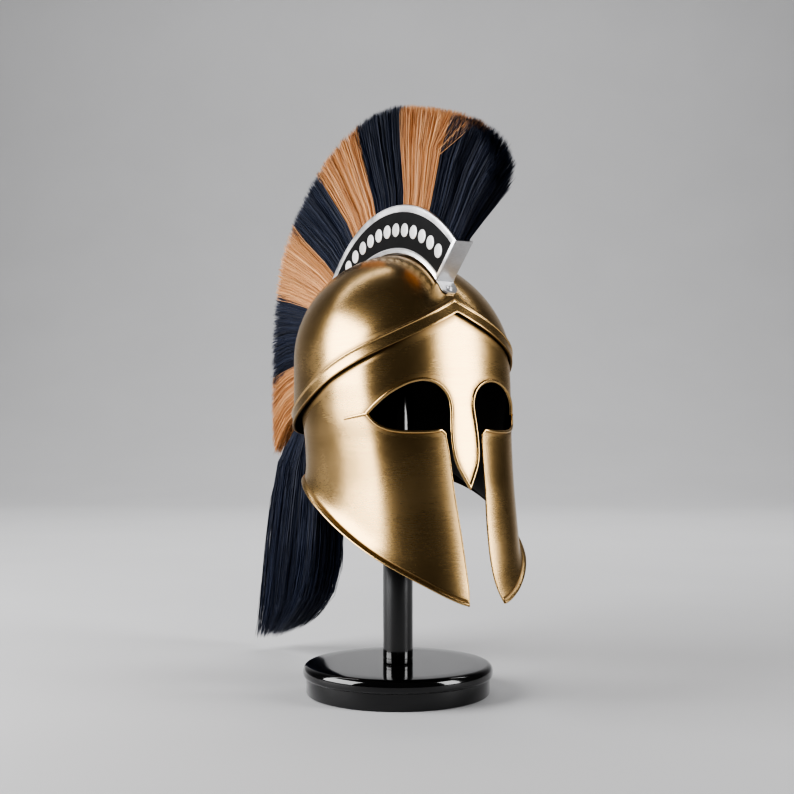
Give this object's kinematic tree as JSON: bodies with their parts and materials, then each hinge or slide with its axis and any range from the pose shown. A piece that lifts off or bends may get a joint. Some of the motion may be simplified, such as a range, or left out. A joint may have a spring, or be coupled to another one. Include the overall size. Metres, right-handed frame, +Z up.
{
  "type": "crested greek bronze helmet on display stand",
  "caption": "Closed bronze helmet with almond eye openings, nasal and long cheek pieces, a banded hair crest along its crown and a round black display stand.",
  "frame": {"origin": "centre of the stand base's underside, on the axis of its post", "axes": "+Z up along the post; the helmet faces -Y and the wearer's left is +X"},
  "size_m": [0.1942, 0.4537, 0.5464],
  "materials": {
    "brass_sheet": "brushed and antiqued",
    "crest_silver": "satin silver plate",
    "crest_inlay": "matt black with satin silver studs",
    "navy_hair": "dyed brush hair",
    "ginger_hair": "dyed brush hair",
    "liner_leather": "dark leather",
    "stand_black": "gloss black lacquer"
  },
  "bodies": {
    "root": {"skull_dome": "brass_sheet", "face_mask": "brass_sheet", "leather_liner": "liner_leather", "crest_frame": "crest_silver", "crest_inlay_left": "crest_inlay", "crest_inlay_right": "crest_inlay", "crest_rivet_front": "crest_silver", "crest_rivet_rear": "crest_silver", "plume_navy_1": "navy_hair", "plume_ginger_1": "ginger_hair", "plume_navy_2": "navy_hair", "plume_ginger_2": "ginger_hair", "plume_navy_3": "navy_hair", "plume_ginger_3": "ginger_hair", "plume_navy_4": "navy_hair", "plume_ginger_4": "ginger_hair", "plume_tail": "navy_hair", "stand_base": "stand_black", "stand_post": "stand_black", "stand_head": "stand_black"}
  },
  "joints": []
}
